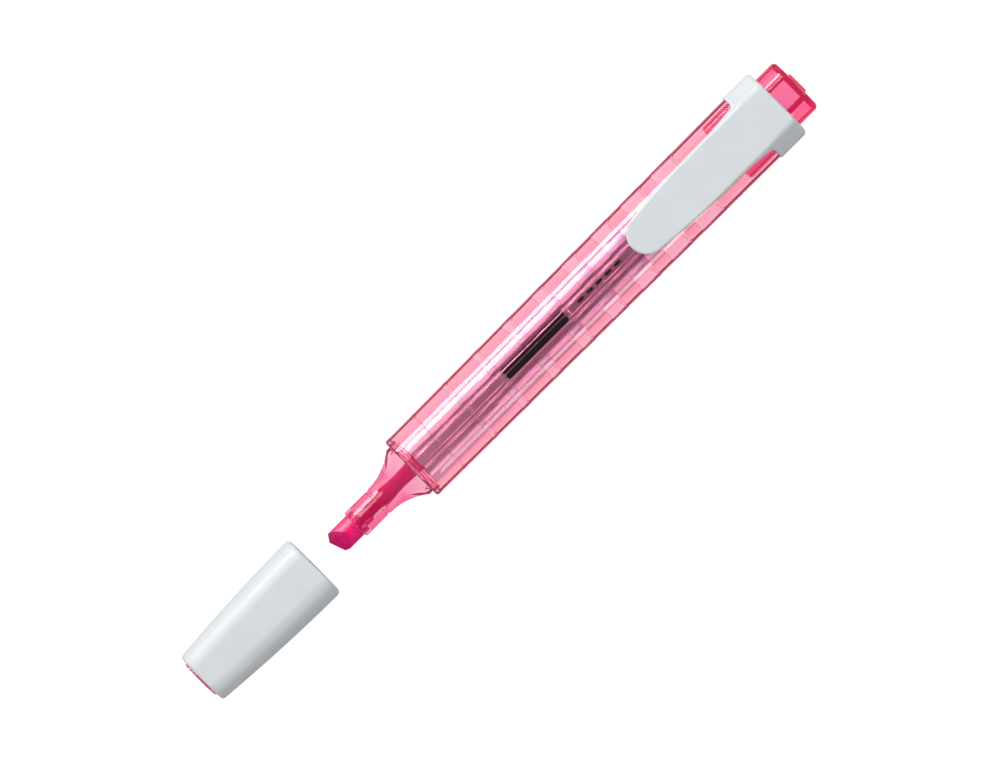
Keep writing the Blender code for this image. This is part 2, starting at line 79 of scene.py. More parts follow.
def span(node):
    """A CAD node's lowest and highest corners as (station, y, z)."""
    origin = Vector((SHOULDER_X, 0, AXIS_Z))
    return [(corner - origin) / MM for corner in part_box(node)]


# The eight-sided outline: how far its flat front and its flat sides reach, as shares of its half width and
# half height, and how far its faces blend: crisply, or on the barrel and cap softly at the front and sides.
FACE_SHARE = 0.55
SIDE_SHARE = 0.42
CRISP = (0.7, 0.7)
BARREL_CORNERS = (1.4, 1.7)
CAP_CORNERS = (1.6, 1.6)
GAP = 0.1

BARREL_LENGTH = span("barrel")[1].x
BARREL_FRONT_HALF_WIDTH = 7.0
BARREL_REAR_HALF_WIDTH = span("barrel")[1].y
BARREL_HALF_HEIGHT = span("barrel")[1].z
BARREL_WALL = 1.15
SHOULDER_ROUND = 0.45

# Recesses in the bore, each longer than the one before it. A fillet is (length, depth).
RECESS_COUNT = 9
RECESS_FIRST_END = 7.5
RECESS_PITCH = 8.57
RECESS_FIRST_LENGTH = 0.35
RECESS_GROWTH = 0.7
RECESS_DEPTH = 0.3
RECESS_STEP = 0.07
RECESS_FILLET = (0.25, 0.078)

# The ribs' places across the bore, in steps of RIB_GRID, and their height at each step in from their foot.
RIB_GRID = 0.12
RIB_FOOT = (7, 16)
RIB_PROFILE = (0.0, 0.7, 0.82, 0.94, 1.0)
RIB_FRONT = 2.0
RIB_REAR = 82.0

PANEL_FRONT = 18.6
PANEL_REAR = 64.0
PANEL_HALF_WIDTH = 3.15
PANEL_ROUND = 2.5
PANEL_DEPTH = 0.12
PANEL_SLOPE = 0.1

SECTION_FRONT = span("front_section")[0].x
SECTION_REAR = span("front_section")[1].x
SECTION_HALF_WIDTH = 5.75
SECTION_HALF_HEIGHT = 4.25
FLANGE_FRONT = -0.82
CONE_FRONT = -8.5
CONE_RADIUS = 3.05
CONE_FLARE = 2.2
NECK_REAR = -9.2
NECK_RADIUS = 2.98
NECK_GROOVE = 0.12
NECK_ROUND = 0.25
SNAP_FRONT = 0.5
SNAP_REAR = 1.2
SNAP_HEIGHT = 0.15

# The nib, and the corners that its writing edge and its slanted face pass through.
NIB_TIP = span("nib")[0].x
NIB_RADIUS = span("nib")[1].y
NIB_STEP = -13.3
SHANK_RADIUS = 1.65
SHANK_REAR = span("nib")[1].x
EDGE_START = Vector((NIB_TIP, 1.06, -1.4))
EDGE_END = Vector((-19.38, -2.38, -1.4))
FACE_TOP = Vector((-17.0, 0.0, NIB_RADIUS))
FACE_CORNER = Vector((-19.74, 2.23, -1.4))
EDGE_UNDERCUT = math.radians(25)

# The film, and the two creases that the barrel's ribs press in it.
FILM_FRONT, FILM_REAR = span("reservoir_film")[0].x, span("reservoir_film")[1].x
FILM_SLACK = 0.2
FILM_HALF_WIDTH = span("reservoir_film")[1].y - FILM_SLACK
FILM_HALF_HEIGHT = span("reservoir_film")[1].z
FILM_THICKNESS = 0.15
FILM_SQUARENESS = 2.7
FILM_CREASES = (0.95, -1.75)
CREASE_DEPTH = 0.13
CREASE_RISE = 0.4
CREASE_DROP = 0.15
CORE_INSET = 0.2
WICK_HOLE_DEPTH = 3.4

PLUG_FRONT = span("tail_plug")[0].x
TAIL_END = span("tail_plug")[1].x
TAB_PROUD = 0.5
PLUG_REAR = TAIL_END - TAB_PROUD
PLUG_STEP = BARREL_LENGTH
PLUG_HALF_WIDTH = 5.9
PLUG_HALF_HEIGHT = 4.0
PLUG_WALL = 1.0
PLUG_END_WALL = 1.2
PLUG_ROUND = 0.9
WEB_OFFSET = 2.67
WEB_THICKNESS = 0.9
TAB_WIDTH = 4.4
TAB_HEIGHT = 3.4
TAB_SQUARENESS = 8.0
TAB_ROUND = 0.15

COLLAR_FRONT = 90.2
COLLAR_REAR = span("clip_collar")[1].x
COLLAR_HALF_WIDTH = span("clip_collar")[1].y
COLLAR_TOP = span("clip_collar")[1].z
COLLAR_BOTTOM = -span("clip_collar")[0].z
COLLAR_FACE_SHARE = 0.6
COLLAR_ROUND = 0.9
COLLAR_LIP = 95.15
SEAT_STEP = 0.6

CLIP_TIP = span("clip_blade")[0].x
CLIP_TIP_RADIUS = 3.95
CLIP_WAIST = 83.4
CLIP_WAIST_HALF_WIDTH = 5.0
CLIP_ROOT = 89.2
CLIP_ROOT_HALF_WIDTH = 5.45
CLIP_TIP_DROP = 0.45
CLIP_THICKNESS = 1.55
CLIP_EDGE_ROUND = 0.45
CLIP_FILLET = 0.7
CLIP_BLEND = 0.012
CLIP_PAD_DEPTH = 0.5
CLIP_PAD_STATION = 62.0
CLIP_PAD_LENGTH = 2.2

CAP_MOUTH = span("cap_shell")[1].x
CAP_END = span("cap_shell")[0].x
CAP_HALF_WIDTH = 6.97
CAP_HALF_HEIGHT = COLLAR_BOTTOM
CAP_END_HALF_WIDTH = 5.6
CAP_END_HALF_HEIGHT = 4.6
CAP_TAPER = 1.9
CAP_WALL = 1.0
CAP_END_WALL = 1.2
CAP_ROUND = 0.6
CAP_MOUTH_ROUND = 0.85
CAP_MOUTH_BEVEL = 0.15
CAP_FACE_SHARE = 0.65

END_PLUG_HALF_WIDTH = 4.0
END_PLUG_HALF_HEIGHT = 2.2
END_PLUG_FRONT = span("cap_end_plug")[0].x
END_PLUG_REAR = span("cap_end_plug")[1].x
END_PLUG_BOW = 0.1
END_PLUG_RIM = 0.5
SEAL_BASE, SEAL_MOUTH = span("cap_inner_seal")[0].x, span("cap_inner_seal")[1].x
SEAL_BASE_THICKNESS = 0.8
SEAL_WALL = 0.45
SEAL_INNER_RADIUS = 2.95
SEAL_MOUTH_RADIUS = 3.25
SEAL_LIP_RADIUS = 3.05
SEAL_LIP_LENGTH = 0.8
SEAL_FOOT = 0.7


# ---------------------------------------------------------------- shapes


def place(station, y, z):
    return Vector((SHOULDER_X + station * MM, y * MM, AXIS_Z + z * MM))


def smooth_min(a, b, blend):
    """The lower of two heights, rounded off where they are less than blend apart."""
    near = max(blend - abs(a - b), 0.0) / blend
    return min(a, b) - near * near * blend / 4


def arc_steps(radius, steps):
    """(how far along, how far in) for points round a quarter circle, from the end face to the side."""
    angles = [math.pi / 2 * i / steps for i in range(steps + 1)]
    return [(radius * (1 - math.cos(angle)), radius * (1 - math.sin(angle))) for angle in angles]


def eight_sided_radius(angle, half_width, half_height, face_share, corners=CRISP):
    front_corner, side_corner = corners
    across, up = abs(math.cos(angle)), abs(math.sin(angle))
    face_edge, side_edge = face_share * half_width, SIDE_SHARE * half_height
    slant = Vector((half_height - side_edge, half_width - face_edge)).normalized()
    reach = slant.x * face_edge + slant.y * half_height
    radius = reach / (slant.x * across + slant.y * up)
    radius = smooth_min(radius, half_width / max(across, 1e-6), side_corner)
    return smooth_min(radius, half_height / max(up, 1e-6), front_corner)


def oval_radius(angle, half_width, half_height, squareness=2.0):
    across, up = abs(math.cos(angle)) / half_width, abs(math.sin(angle)) / half_height
    return (across**squareness + up**squareness) ** (-1 / squareness)


def outline(station, radius_at):
    """A ring of points round the axis, at the radius that each angle has."""
    points = []
    for i in range(RING_POINTS):
        angle = math.tau * i / RING_POINTS
        radius = radius_at(angle)
        points.append(place(station, radius * math.cos(angle), radius * math.sin(angle)))
    return points


def circle(station, radius):
    """A round outline."""
    return outline(station, lambda angle: radius)


def oval(station, half_width, half_height, squareness=2.0):
    return outline(station, lambda angle: oval_radius(angle, half_width, half_height, squareness))


def ring(station, half_width, half_height, squared=1.0, corners=CRISP, face_share=FACE_SHARE):
    """An outline between an ellipse, with squared at 0, and the eight-sided one, at 1."""

    def radius_at(angle):
        ellipse = oval_radius(angle, half_width, half_height)
        sided = eight_sided_radius(angle, half_width, half_height, face_share, corners)
        return ellipse + (sided - ellipse) * squared

    return outline(station, radius_at)


def put_in_scene(made):
    """Links a new object to the scene."""
    bpy.context.scene.collection.objects.link(made)
    return made


def shade(mesh):
    mesh.shade_smooth()
    mesh.set_sharp_from_angle(angle=SHARP_ANGLE)


def mesh_object(name, shape):
    bmesh.ops.recalc_face_normals(shape, faces=shape.faces)
    mesh = bpy.data.meshes.new(name)
    shape.to_mesh(mesh)
    shape.free()
    shade(mesh)
    return put_in_scene(bpy.data.objects.new(name, mesh))


def add_skin(shape, rings, tube=False):
    """A closed skin through rings of points. A tube's last ring joins its first; others have end faces."""
    loops = [[shape.verts.new(point) for point in points] for points in rings]
    follow = loops[1:] + loops[:1] if tube else loops[1:]
    count = len(loops[0])
    for near, far in zip(loops, follow):
        for i in range(count):
            j = (i + 1) % count
            shape.faces.new((near[i], near[j], far[j], far[i]))
    if not tube:
        shape.faces.new(loops[0])
        shape.faces.new(loops[-1])


def loft(name, rings, tube=False):
    shape = bmesh.new()
    add_skin(shape, rings, tube)
    return mesh_object(name, shape)


def block(name, low, high):
    """A box between two corners."""
    shape = bmesh.new()
    bmesh.ops.create_cube(shape, size=1.0)
    low, high = place(*low), place(*high)
    for vert in shape.verts:
        vert.co = Vector(low[k] + (vert.co[k] + 0.5) * (high[k] - low[k]) for k in range(3))
    return mesh_object(name, shape)


def combine(body, helper, operation):
    """Cuts the helper from the body or joins it on, and deletes the helper."""
    modifier = body.modifiers.new("combine", "BOOLEAN")
    modifier.operation = operation
    modifier.object = helper
    evaluated = body.evaluated_get(bpy.context.evaluated_depsgraph_get())
    mesh = bpy.data.meshes.new_from_object(evaluated)
    body.modifiers.remove(modifier)
    body.data = mesh
    shade(mesh)
    bpy.data.objects.remove(helper)


def rounded_plan(front, rear, half_width, radius, z, steps=10):
    """The outline of a rectangle with round corners, seen from above."""
    corners = [(rear, half_width), (front, half_width), (front, -half_width), (rear, -half_width)]
    points = []
    for quarter, (station, side) in enumerate(corners):
        centre_station = station - math.copysign(radius, station - (front + rear) / 2)
        centre_y = side - math.copysign(radius, side)
        for i in range(steps + 1):
            angle = math.pi / 2 * (quarter + i / steps)
            y = centre_y + radius * math.sin(angle)
            points.append(place(centre_station + radius * math.cos(angle), y, z))
    return points


def coat(piece, material):
    piece.data.materials.clear()
    piece.data.materials.append(material)


def finish_piece(piece, material, body, slot, *nodes):
    coat(piece, material)
    if nodes:
        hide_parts(*nodes)
    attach(piece, body)
    return piece


# ---------------------------------------------------------------- materials

# Stations and offsets across the pen between which a material changes.
NECK_TINT = (-9.5, -5.0)
NIB_HELD = (-14.6, -13.6)
NIB_LIT_SIDE = (0.4, 1.4)
INK_FRONT = (4.0, 34.0)
FILM_LEFT_RIM = (4.0, 4.5)
FILM_RIGHT_RIM = (-4.85, -4.6)


class Nodes:
    """Builds one material's node tree in few words. Textures are laid out in millimetres of the object."""

    def __init__(self, name):
        self.material = bpy.data.materials.new(name)
        self.material.use_nodes = True
        self.tree = self.material.node_tree
        self.shader = self.tree.nodes["Principled BSDF"]
        self.output = self.tree.nodes["Material Output"]
        self.place = self.tree.nodes.new("ShaderNodeTexCoord").outputs["Object"]

    def add(self, kind, **settings):
        node = self.tree.nodes.new(kind)
        for key, value in settings.items():
            setattr(node, key, value)
        return node

    def link(self, source, target):
        self.tree.links.new(source, target)

    def set(self, **values):
        """Gives the shader's sockets values that are the same all over."""
        for key, value in values.items():
            self.shader.inputs[key.replace("_", " ")].default_value = value

    def drive(self, **sources):
        """Links the shader's sockets to what varies over the surface."""
        for key, source in sources.items():
            self.link(source, self.shader.inputs[key.replace("_", " ")])

    def texture(self, kind, cells, **values):
        """A texture with so many cells to the millimetre along x, y and z."""
        mapping = self.add("ShaderNodeMapping")
        mapping.inputs["Scale"].default_value = [count / MM for count in cells]
        self.link(self.place, mapping.inputs["Vector"])
        node = self.add(kind)
        node.inputs["Scale"].default_value = 1.0
        for key, value in values.items():
            node.inputs[key].default_value = value
        self.link(mapping.outputs["Vector"], node.inputs["Vector"])
        return node

    def noise(self, x, y, z, detail, rough=0.5):
        return self.texture("ShaderNodeTexNoise", (x, y, z), Detail=detail, Roughness=rough).outputs["Fac"]

    def cells(self, x, y, z):
        return self.texture("ShaderNodeTexVoronoi", (x, y, z)).outputs["Distance"]

    def between(self, value, low, high, start=0.3, end=0.7):
        """Low where the value is at start, high where it is at end, and even steps between them."""
        node = self.add("ShaderNodeMapRange")
        settings = {"From Min": start, "From Max": end, "To Min": low, "To Max": high}
        for key, setting in settings.items():
            node.inputs[key].default_value = setting
        self.link(value, node.inputs["Value"])
        return node.outputs["Result"]

    def axis(self, name):
        node = self.add("ShaderNodeSeparateXYZ")
        self.link(self.place, node.inputs[0])
        return node.outputs[name]

    def by_station(self, low, high, start, end):
        return self.between(self.axis("X"), low, high, SHOULDER_X + start * MM, SHOULDER_X + end * MM)

    def by_offset(self, low, high, start, end):
        return self.between(self.axis("Y"), low, high, start * MM, end * MM)

    def maths(self, operation, *values):
        node = self.add("ShaderNodeMath", operation=operation)
        for socket, value in zip(node.inputs, values):
            if isinstance(value, float):
                socket.default_value = value
            else:
                self.link(value, socket)
        return node.outputs[0]

    def mix(self, share, first, second):
        """The first colour where the share is 0 and the second where it is 1."""
        node = self.add("ShaderNodeMix", data_type="RGBA")
        self.link(share, node.inputs["Factor"])
        colour_sockets, result = node.inputs[6:8], node.outputs[2]
        for socket, colour in zip(colour_sockets, (first, second)):
            if isinstance(colour, tuple):
                socket.default_value = (*colour, 1.0)
            else:
                self.link(colour, socket)
        return result

    def colours(self, value, *stops):
        node = self.add("ShaderNodeValToRGB")
        ramp_stops = node.color_ramp.elements
        while len(ramp_stops) < len(stops):
            ramp_stops.new(0.5)
        for element, (position, colour) in zip(ramp_stops, stops):
            element.position = position
            element.color = (*colour, 1.0)
        self.link(value, node.inputs["Fac"])
        return node.outputs["Color"]

    def bump(self, height, strength, distance_mm, after=None):
        node = self.add("ShaderNodeBump")
        node.inputs["Strength"].default_value = strength
        node.inputs["Distance"].default_value = distance_mm * MM
        self.link(height, node.inputs["Height"])
        if after is not None:
            self.link(after, node.inputs["Normal"])
        return node.outputs["Normal"]

    def absorb(self, per_mm):
        """Colour that deepens with the thickness of plastic that the light goes through."""
        strongest = max(per_mm)
        volume = self.add("ShaderNodeVolumeAbsorption")
        volume.inputs["Color"].default_value = (*[1 - share / strongest for share in per_mm], 1.0)
        volume.inputs["Density"].default_value = strongest / MM
        self.link(volume.outputs["Volume"], self.output.inputs["Volume"])


def clear_plastic(name, tints, per_mm, painted_glow_colour, glow, roughness, neck_tint=None):
    """Fluorescent see-through moulding: a faint grain, colour that deepens with its thickness, and a painted
    pink glow that shines the same whether light falls on it or not.
    """
    made = Nodes(name)
    flow = made.noise(0.05, 0.3, 0.3, detail=3.0)
    tint = made.colours(flow, (0.35, tints[0]), (0.65, tints[1]))
    if neck_tint:
        tint = made.mix(made.by_station(1.0, 0.0, *NECK_TINT), tint, neck_tint)
    grain = made.noise(1.5, 3.0, 3.0, detail=2.0)
    made.drive(
        Base_Color=tint,
        Roughness=made.between(grain, roughness * 0.8, roughness * 1.2),
        Normal=made.bump(flow, 0.01, 0.01),
    )
    # The emission is a painted glow: it brightens the plastic pink everywhere, also where no light reaches.
    made.set(IOR=1.49, Transmission_Weight=0.98, Emission_Color=(*painted_glow_colour, 1.0), Emission_Strength=glow)
    made.absorb(per_mm)
    return made.material


def satin_plastic():
    """Pale grey moulding with a fine spark-eroded grain and faint handling marks."""
    made = Nodes("pale_grey")
    mottle = made.noise(0.25, 0.25, 0.25, detail=5.0)
    grain = made.noise(9.0, 9.0, 9.0, detail=2.0)
    rubs = made.noise(0.5, 4.0, 4.0, detail=4.0)
    made.drive(
        Base_Color=made.colours(mottle, (0.3, (0.63, 0.665, 0.69)), (0.7, (0.66, 0.69, 0.715))),
        Roughness=made.between(rubs, 0.36, 0.5),
        Normal=made.bump(rubs, 0.05, 0.03, after=made.bump(grain, 0.12, 0.02)),
    )
    made.set(IOR=1.49, Subsurface_Weight=0.12, Subsurface_Scale=0.0008, Subsurface_Radius=(1.0, 0.95, 0.9))
    return made.material


def ink_fibre():
    """Porous fibre full of pink ink, with a faint painted pink glow. Its gloss is turned up only on the left
    of the nib's tip, a painted highlight on the side the light comes from; inside the holder it stays low.
    """
    made = Nodes("ink_fibre")
    threads = made.noise(0.8, 9.0, 9.0, detail=4.0, rough=0.6)
    pores = made.between(made.cells(5.5, 5.5, 5.5), 0.0, 0.4, 0.0, 0.8)
    weave = made.maths("MULTIPLY_ADD", threads, 0.6, pores)
    dark, ink, pale = (0.25, 0.0, 0.035), (0.54, 0.0, 0.08), (0.8, 0.012, 0.14)
    # A painted highlight: the gloss is high only on the tip's left, where the light falls, and low inside the
    # holder.
    tip, lit_side = made.by_station(1.0, 0.1, *NIB_HELD), made.by_offset(0.12, 0.95, *NIB_LIT_SIDE)
    made.drive(
        Base_Color=made.colours(weave, (0.3, dark), (0.45, ink), (0.62, pale)),
        Roughness=made.between(threads, 0.38, 0.5),
        Normal=made.bump(weave, 0.6, 0.08),
        Specular_IOR_Level=made.maths("MULTIPLY", tip, lit_side),
    )
    # The emission is a painted glow that brightens the ink pink everywhere.
    made.set(IOR=1.6, Emission_Color=(1.0, 0.0, 0.32, 1.0), Emission_Strength=0.16)
    return made.material


def silvery_film():
    """Thin silvery film, streaked along the bundle. It is milky at the nib's end, where the ink has drained.
    Its two long edges are painted pale pink and given a faint painted glow, standing in for how they look edge
    on through the barrel."""
    made = Nodes("film")
    streaks = made.noise(0.03, 3.5, 3.5, detail=2.0)
    creases = made.noise(0.3, 1.0, 1.0, detail=3.0)
    wetness = made.by_station(0.0, 1.0, *INK_FRONT)
    milky = made.colours(streaks, (0.3, (0.72, 0.76, 0.88)), (0.7, (0.82, 0.87, 0.98)))
    silver = made.colours(streaks, (0.3, (0.5, 0.4, 0.53)), (0.7, (0.62, 0.51, 0.66)))
    # Painted light: the pale pink and the faint glow on the film's two long edges stand in for how they look
    # edge on through the barrel.
    left_rim, right_rim = made.by_offset(0.0, 1.0, *FILM_LEFT_RIM), made.by_offset(1.0, 0.0, *FILM_RIGHT_RIM)
    painted_rim_light = made.maths("MAXIMUM", left_rim, right_rim)
    made.drive(
        Base_Color=made.mix(painted_rim_light, made.mix(wetness, milky, silver), (0.98, 0.72, 0.8)),
        Metallic=made.between(wetness, 0.5, 0.9, 0.0, 1.0),
        Roughness=made.between(streaks, 0.36, 0.44),
        Normal=made.bump(creases, 0.05, 0.015, after=made.bump(streaks, 0.05, 0.02)),
        Emission_Strength=made.between(painted_rim_light, 0.0, 0.25, 0.0, 1.0),
    )
    made.set(Emission_Color=(1.0, 0.55, 0.65, 1.0))
    return made.material


def soft_seal():
    """Soft milky pink plastic."""
    made = Nodes("soft_seal")
    haze = made.noise(0.6, 0.6, 0.6, detail=4.0)
    made.drive(
        Base_Color=made.colours(haze, (0.3, (0.86, 0.42, 0.52)), (0.7, (0.9, 0.52, 0.6))),
        Roughness=made.between(haze, 0.4, 0.55),
        Normal=made.bump(haze, 0.1, 0.05),
    )
    made.set(Subsurface_Weight=0.4, Subsurface_Scale=0.001, Subsurface_Radius=(1.0, 0.5, 0.5))
    return made.material


def black_ink():
    """Matt printing ink with a slight speckle."""
    made = Nodes("black_ink")
    speckle = made.noise(6.0, 6.0, 6.0, detail=3.0)
    made.drive(
        Base_Color=made.colours(speckle, (0.35, (0.0005, 0.0005, 0.0005)), (0.75, (0.002, 0.0015, 0.002))),
        Roughness=made.between(speckle, 0.5, 0.7),
        Normal=made.bump(speckle, 0.2, 0.01),
    )
    made.set(Specular_IOR_Level=0.25)
    return made.material


# ---------------------------------------------------------------- barrel


def barrel_half_width(station):
    share = station / COLLAR_FRONT
    return BARREL_FRONT_HALF_WIDTH + (BARREL_REAR_HALF_WIDTH - BARREL_FRONT_HALF_WIDTH) * share


def barrel_ring(station, inset=0.0, corners=CRISP):
    return ring(station, barrel_half_width(station) - inset, BARREL_HALF_HEIGHT - inset, corners=corners)


def face_points():
    """(index in a ring, steps from the middle) for the points across the bore's front and back faces."""
    quarter, reach = RING_POINTS // 4, RING_POINTS // 12
    front = [(quarter - step, step) for step in range(-reach, reach + 1)]
    back = [(3 * quarter + step, step) for step in range(-reach, reach + 1)]
    return front + back


def bore_ring(station, deeper=0.0):
    """The bore's outline at a station, with the four ribs that stand on its front and back walls."""
    points = barrel_ring(station, BARREL_WALL - deeper)
    ribbed = RIB_FRONT <= station <= RIB_REAR
    rib_top = FILM_HALF_HEIGHT + GAP / 2
    for index, step in face_points():
        point = points[index]
        point.y = step * RIB_GRID * MM
        wall = abs(point.z - AXIS_Z) / MM
        if ribbed and RIB_FOOT[0] <= abs(step) <= RIB_FOOT[1]:
            inside = min(abs(step) - RIB_FOOT[0], RIB_FOOT[1] - abs(step))
            height = wall + (rib_top - wall) * RIB_PROFILE[min(inside, len(RIB_PROFILE) - 1)]
            point.z = AXIS_Z + math.copysign(height * MM, point.z - AXIS_Z)
    return points


def recess_rings(front, rear, depth):
    """A recess in the bore. Its rear corner has a small fillet, which catches the light."""
    fillet_length, fillet_depth = RECESS_FILLET
    fillet_start = max(rear - RECESS_STEP - fillet_length, front + 2 * RECESS_STEP)
    return [
        bore_ring(front),
        bore_ring(front + RECESS_STEP, depth),
        bore_ring(fillet_start, depth),
        bore_ring(rear - RECESS_STEP, depth - fillet_depth),
        bore_ring(rear),
    ]


def panel_plan(z, inset=0.0):
    return rounded_plan(PANEL_FRONT, PANEL_REAR, PANEL_HALF_WIDTH - inset, PANEL_ROUND - inset, z)


def make_barrel(material):
    outside = [barrel_ring(along, inset, BARREL_CORNERS) for along, inset in arc_steps(SHOULDER_ROUND, 5)]
    body_rings = 12
    body_end = COLLAR_FRONT - GAP
    for i in range(1, body_rings + 1):
        station = SHOULDER_ROUND + (body_end - SHOULDER_ROUND) * i / body_rings
        outside.append(barrel_ring(station, corners=BARREL_CORNERS))
    outside += [barrel_ring(body_end, SEAT_STEP), barrel_ring(BARREL_LENGTH, SEAT_STEP)]
    inside = [bore_ring(0.0)]
    inside += recess_rings(SNAP_FRONT - GAP, SNAP_REAR + GAP, SNAP_HEIGHT + GAP)
    inside += [bore_ring(RIB_FRONT - 3 * RECESS_STEP), bore_ring(RIB_FRONT)]
    for i in range(RECESS_COUNT):
        rear = RECESS_FIRST_END + i * RECESS_PITCH
        front = rear - RECESS_FIRST_LENGTH - i * RECESS_GROWTH
        inside += recess_rings(front, rear, RECESS_DEPTH)
    inside += [bore_ring(RIB_REAR), bore_ring(RIB_REAR + 3 * RECESS_STEP), bore_ring(BARREL_LENGTH)]
    piece = loft("barrel_clear", outside + inside[::-1], tube=True)
    panel = [
        panel_plan(BARREL_HALF_HEIGHT - PANEL_DEPTH, PANEL_SLOPE),
        panel_plan(BARREL_HALF_HEIGHT),
        panel_plan(BARREL_HALF_HEIGHT + 1),
    ]
    combine(piece, loft("panel_cutter", panel), "DIFFERENCE")
    return finish_piece(piece, material, "pen", "clear_pink", "barrel")


# Each bar of ink as (front, rear, offset across, half width). Three bars show the widths that the nib draws,
# and five dashes follow them. They stand for the real print.
INK_BARS = [(24.8, 40.8, 1.15, 0.15), (24.8, 40.8, 0.45, 0.3), (24.8, 40.8, -0.65, 0.55)]
INK_BARS += [(44.0 + 2.4 * i, 45.6 + 2.4 * i, 0.0, 0.25) for i in range(5)]
INK_CLEARANCE = 0.005
INK_THICKNESS = 0.03
INK_ROUNDNESS = 0.98


def make_print(material):
    low = BARREL_HALF_HEIGHT - PANEL_DEPTH + INK_CLEARANCE
    shape = bmesh.new()
    for front, rear, y, half_width in INK_BARS:
        aside, radius = Vector((0, y * MM, 0)), half_width * INK_ROUNDNESS
        plans = [rounded_plan(front, rear, half_width, radius, z, steps=8) for z in (low, low + INK_THICKNESS)]
        add_skin(shape, [[point + aside for point in plan] for plan in plans])
    piece = mesh_object("width_guide_print", shape)
    return finish_piece(piece, material, "pen", "clear_pink")


# ---------------------------------------------------------------- nib and its holder


def cone_ring(station):
    share = (station - CONE_FRONT) / (FLANGE_FRONT - CONE_FRONT)
    flare = share**CONE_FLARE
    half_width = CONE_RADIUS + (SECTION_HALF_WIDTH - CONE_RADIUS) * flare
    half_height = CONE_RADIUS + (SECTION_HALF_HEIGHT - CONE_RADIUS) * flare
    return ring(station, half_width, half_height, squared=share)


def section_ring(station, inset=0.0):
    return ring(station, SECTION_HALF_WIDTH - inset, SECTION_HALF_HEIGHT - inset)


def make_front_section(material):
    cone_steps = 28
    flange_wall = 0.9
    cavity_front = -4.4
    cavity_rear = -0.6
    nib_bore = NIB_RADIUS + 0.1
    shank_bore = SHANK_RADIUS + 0.2
    outside = [circle(SECTION_FRONT + along, NECK_RADIUS - inset) for along, inset in arc_steps(NECK_ROUND, 4)]
    outside += [
        circle(NECK_REAR, NECK_RADIUS),
        circle(NECK_REAR + GAP, NECK_RADIUS - NECK_GROOVE),
        circle(CONE_FRONT - GAP, NECK_RADIUS - NECK_GROOVE),
    ]
    for i in range(cone_steps + 1):
        outside.append(cone_ring(CONE_FRONT + (FLANGE_FRONT - CONE_FRONT) * i / cone_steps))
    outside += [
        section_ring(SNAP_FRONT),
        section_ring(SNAP_FRONT + 0.2, -SNAP_HEIGHT),
        section_ring(SNAP_REAR - 0.2, -SNAP_HEIGHT),
        section_ring(SNAP_REAR),
        section_ring(SECTION_REAR),
    ]
    inside = [
        circle(SECTION_FRONT, nib_bore),
        circle(NIB_STEP + GAP, nib_bore),
        circle(NIB_STEP + GAP, shank_bore),
        circle(cavity_front, shank_bore),
        section_ring(cavity_rear, flange_wall),
        section_ring(SECTION_REAR, flange_wall),
    ]
    piece = loft("front_section_clear", outside + inside[::-1], tube=True)
    return finish_piece(piece, material, "pen", "clear_pink", "front_section")


def slice_off(shape, point, normal):
    """Cuts away what lies on the normal's side of the plane and closes the cut."""
    geometry = shape.verts[:] + shape.edges[:] + shape.faces[:]
    cut = bmesh.ops.bisect_plane(shape, geom=geometry, plane_co=point, plane_no=normal, clear_outer=True)
    rim = [edge for edge in cut["geom_cut"] if isinstance(edge, bmesh.types.BMEdge)]
    bmesh.ops.contextual_create(shape, geom=rim)


def make_nib(material):
    edge = (EDGE_END - EDGE_START).normalized()
    forward = Vector((edge.y, -edge.x, 0))
    climb = edge.cross(FACE_TOP - EDGE_START).normalized()
    writing_face = climb if climb.z > 0 else -climb
    undercut = forward * math.cos(EDGE_UNDERCUT) + Vector((0, 0, -math.sin(EDGE_UNDERCUT)))
    corner_edge = FACE_CORNER - EDGE_START
    corner = Vector((-corner_edge.y, corner_edge.x, 0)).normalized()
    # The rod starts 1 mm beyond the tip, and the three cuts below take that off.
    rings = [circle(NIB_TIP - 1 + i * 0.5, NIB_RADIUS) for i in range(16)]
    rings += [
        circle(NIB_STEP - 0.2, NIB_RADIUS),
        circle(NIB_STEP, NIB_RADIUS - 0.2),
        circle(NIB_STEP, SHANK_RADIUS),
        circle(SHANK_REAR - 1.2, SHANK_RADIUS),
        circle(SHANK_REAR, SHANK_RADIUS / 3),
    ]
    piece = loft("nib_fibre", rings)
    shape = bmesh.new()
    shape.from_mesh(piece.data)
    slice_off(shape, place(*FACE_TOP), writing_face)
    slice_off(shape, place(*EDGE_START), undercut)
    slice_off(shape, place(*EDGE_START), corner)
    bmesh.ops.recalc_face_normals(shape, faces=shape.faces)
    shape.to_mesh(piece.data)
    shape.free()
    piece.data.set_sharp_from_angle(angle=SHARP_ANGLE)
    bevel = piece.modifiers.new("worn_edges", "BEVEL")
    bevel.width = 0.12 * MM
    bevel.segments = 3
    bevel.angle_limit = math.radians(30)
    return finish_piece(piece, material, "pen", "ink_fibre", "nib")


# ---------------------------------------------------------------- reservoir


def reservoir_ring(station, inset=0.0):
    return oval(station, FILM_HALF_WIDTH - inset, FILM_HALF_HEIGHT - inset, FILM_SQUARENESS)


def film_ring(station, inset=0.0):
    """The film's outline, creased where the barrel's ribs press on it."""
    points = reservoir_ring(station, inset)
    for point in points:
        side = math.copysign(1.0, point.z - AXIS_Z)
        for crease in FILM_CREASES:
            past = point.y * side / MM - crease + CREASE_RISE / 2
            depth = min(past / CREASE_RISE, (CREASE_RISE + CREASE_DROP - past) / CREASE_DROP)
            point.z -= side * CREASE_DEPTH * max(depth, 0.0) * MM
    return points


